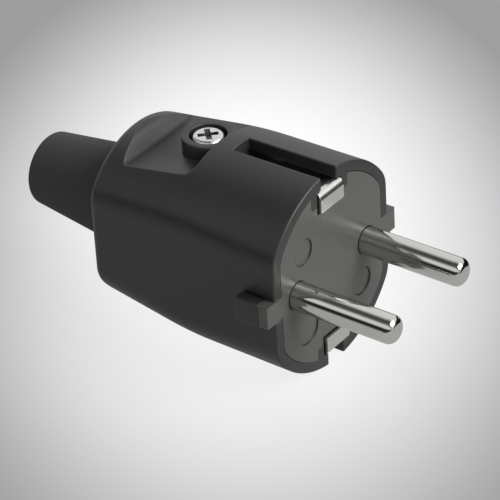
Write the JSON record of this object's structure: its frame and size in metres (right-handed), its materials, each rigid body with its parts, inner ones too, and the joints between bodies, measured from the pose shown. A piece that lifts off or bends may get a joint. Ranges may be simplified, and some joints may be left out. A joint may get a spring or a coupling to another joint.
{
  "type": "schuko plug",
  "caption": "Rewirable earthed mains plug with round pins, side earth contacts, a screwed hood and a rubber bend sleeve.",
  "frame": {"origin": "centre of the engagement face, midway between the two pins, in the plane that stops against the socket", "axes": "+X the way the pins point, +Z the side of the hood screw and one earthing slot, +Y across the two pins"},
  "size_m": [0.0774, 0.0354, 0.0354],
  "materials": {
    "shell": "moulded thermoplastic, satin with a fine grain",
    "carrier": "moulded thermoset, semi-gloss",
    "nickel": "nickel-plated brass",
    "zinc": "zinc-plated steel",
    "sleeve": "soft rubber, matt",
    "fibre": "pressed fibre"
  },
  "bodies": {
    "root": {"hood": "shell", "contact_carrier": "carrier", "contact_pin_left": "nickel", "contact_pin_right": "nickel", "terminal_screw_left": "zinc", "terminal_screw_right": "zinc", "wire_guard_left": "zinc", "wire_guard_right": "zinc", "clamp_screw_left": "zinc", "clamp_screw_right": "zinc", "clamp_nut_left": "zinc", "clamp_nut_right": "zinc", "earth_strap": "nickel", "earth_clamp": "zinc", "earth_screw": "zinc", "pin_retainer": "carrier", "clamp_bar": "carrier", "hood_screw": "zinc", "captive_washer": "fibre", "hood_nut": "zinc", "bend_sleeve": "sleeve"}
  },
  "joints": []
}
